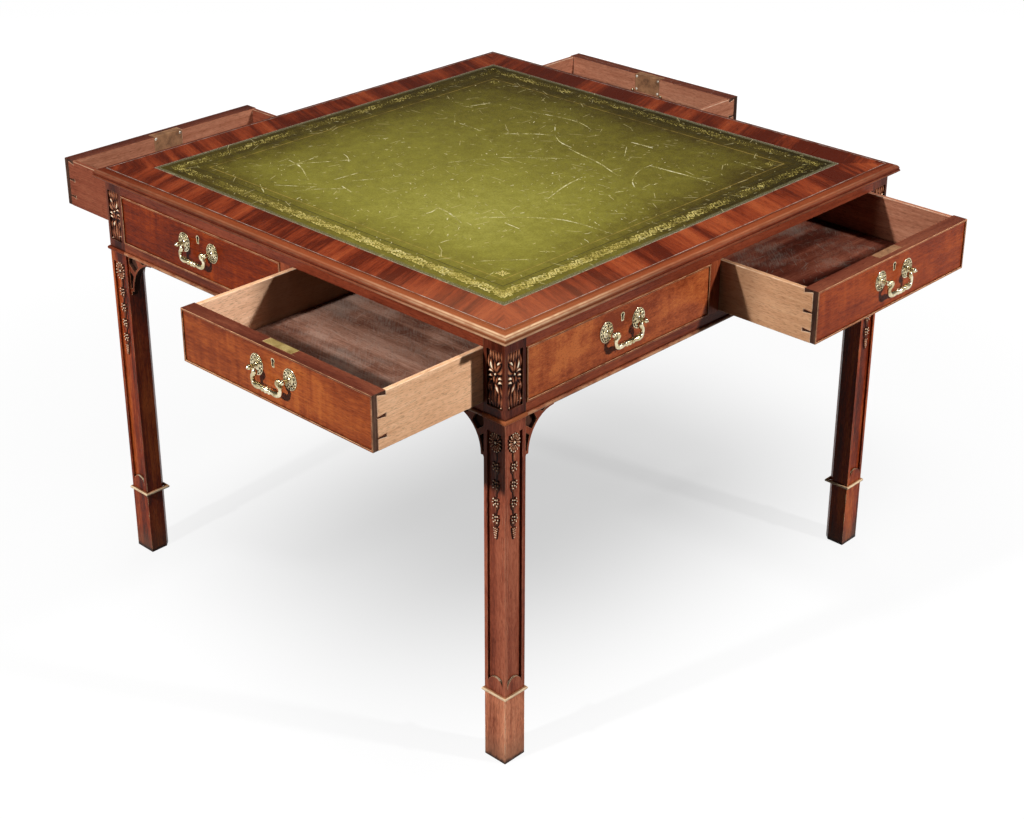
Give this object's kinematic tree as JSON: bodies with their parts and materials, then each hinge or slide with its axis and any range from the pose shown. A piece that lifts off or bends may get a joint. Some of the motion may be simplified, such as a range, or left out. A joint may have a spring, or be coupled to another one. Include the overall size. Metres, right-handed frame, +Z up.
{
  "type": "library table",
  "caption": "Square library table with a leather top, drawers set pinwheel fashion, blind fronts, swan-neck bails, carved fret brackets and recessed square legs.",
  "frame": {"origin": "on the floor under the middle of the table top", "axes": "+Z up, -Y towards the picture's left-hand front side (south), +X towards its right-hand front side (east)"},
  "size_m": [1.4138, 1.4698, 0.775],
  "materials": {
    "mahogany": "polished",
    "carcass_wood": "waxed",
    "drawer_lining": "bare, aged",
    "hide": "worn, tooled in gold",
    "handle_brass": "cast and polished"
  },
  "bodies": {
    "table": {"top_board": "mahogany", "edge_moulding": "mahogany", "leather_top": "hide", "guide_frame": "carcass_wood", "leg_southeast": "mahogany", "bracket_south_left": "mahogany", "bracket_south_right": "mahogany", "rail_frame_south": "mahogany", "blind_front_south": "mahogany", "rose_blind_south_left": "handle_brass", "rose_blind_south_right": "handle_brass", "leg_northeast": "mahogany", "bracket_east_left": "mahogany", "bracket_east_right": "mahogany", "rail_frame_east": "mahogany", "blind_front_east": "mahogany", "rose_blind_east_left": "handle_brass", "rose_blind_east_right": "handle_brass", "leg_northwest": "mahogany", "bracket_north_left": "mahogany", "bracket_north_right": "mahogany", "rail_frame_north": "mahogany", "blind_front_north": "mahogany", "rose_blind_north_left": "handle_brass", "rose_blind_north_right": "handle_brass", "leg_southwest": "mahogany", "bracket_west_left": "mahogany", "bracket_west_right": "mahogany", "rail_frame_west": "mahogany", "blind_front_west": "mahogany", "rose_blind_west_left": "handle_brass", "rose_blind_west_right": "handle_brass"},
    "drawer_south": {"drawer_face_south": "mahogany", "drawer_box_south": "drawer_lining", "lock_south": "handle_brass", "rose_drawer_south_left": "handle_brass", "rose_drawer_south_right": "handle_brass"},
    "handle_drawer_south": {"bail_drawer_south": "handle_brass"},
    "handle_blind_south": {"bail_blind_south": "handle_brass"},
    "drawer_east": {"drawer_face_east": "mahogany", "drawer_box_east": "drawer_lining", "lock_east": "handle_brass", "rose_drawer_east_left": "handle_brass", "rose_drawer_east_right": "handle_brass"},
    "handle_drawer_east": {"bail_drawer_east": "handle_brass"},
    "handle_blind_east": {"bail_blind_east": "handle_brass"},
    "drawer_north": {"drawer_face_north": "mahogany", "drawer_box_north": "drawer_lining", "lock_north": "handle_brass", "rose_drawer_north_left": "handle_brass", "rose_drawer_north_right": "handle_brass"},
    "handle_drawer_north": {"bail_drawer_north": "handle_brass"},
    "handle_blind_north": {"bail_blind_north": "handle_brass"},
    "drawer_west": {"drawer_face_west": "mahogany", "drawer_box_west": "drawer_lining", "lock_west": "handle_brass", "rose_drawer_west_left": "handle_brass", "rose_drawer_west_right": "handle_brass"},
    "handle_drawer_west": {"bail_drawer_west": "handle_brass"},
    "handle_blind_west": {"bail_blind_west": "handle_brass"}
  },
  "joints": [
    {"name": "drawer_south_slide", "type": "slide", "parent": "table", "child": "drawer_south", "axis": [0, -1, 0], "range_m": [-0.22, 0.11]},
    {"name": "bail_drawer_south_hinge", "type": "hinge", "parent": "drawer_south", "child": "handle_drawer_south", "pos_m": [0.23125, -0.729, 0.6976], "axis": [-1, 0, 0], "range_deg": [-10, 85]},
    {"name": "bail_blind_south_hinge", "type": "hinge", "parent": "table", "child": "handle_blind_south", "pos_m": [-0.23125, -0.509, 0.6976], "axis": [-1, 0, 0], "range_deg": [-10, 85]},
    {"name": "drawer_east_slide", "type": "slide", "parent": "table", "child": "drawer_east", "axis": [1, 0, 0], "range_m": [-0.192, 0.138]},
    {"name": "bail_drawer_east_hinge", "type": "hinge", "parent": "drawer_east", "child": "handle_drawer_east", "pos_m": [0.701, 0.23125, 0.6976], "axis": [0, -1, 0], "range_deg": [-10, 85]},
    {"name": "bail_blind_east_hinge", "type": "hinge", "parent": "table", "child": "handle_blind_east", "pos_m": [0.509, -0.23125, 0.6976], "axis": [0, -1, 0], "range_deg": [-10, 85]},
    {"name": "drawer_north_slide", "type": "slide", "parent": "table", "child": "drawer_north", "axis": [0, 1, 0], "range_m": [-0.22, 0.11]},
    {"name": "bail_drawer_north_hinge", "type": "hinge", "parent": "drawer_north", "child": "handle_drawer_north", "pos_m": [-0.23125, 0.729, 0.6976], "axis": [1, 0, 0], "range_deg": [-10, 85]},
    {"name": "bail_blind_north_hinge", "type": "hinge", "parent": "table", "child": "handle_blind_north", "pos_m": [0.23125, 0.509, 0.6976], "axis": [1, 0, 0], "range_deg": [-10, 85]},
    {"name": "drawer_west_slide", "type": "slide", "parent": "table", "child": "drawer_west", "axis": [-1, 0, 0], "range_m": [-0.192, 0.138]},
    {"name": "bail_drawer_west_hinge", "type": "hinge", "parent": "drawer_west", "child": "handle_drawer_west", "pos_m": [-0.701, -0.23125, 0.6976], "axis": [0, 1, 0], "range_deg": [-10, 85]},
    {"name": "bail_blind_west_hinge", "type": "hinge", "parent": "table", "child": "handle_blind_west", "pos_m": [-0.509, 0.23125, 0.6976], "axis": [0, 1, 0], "range_deg": [-10, 85]}
  ]
}
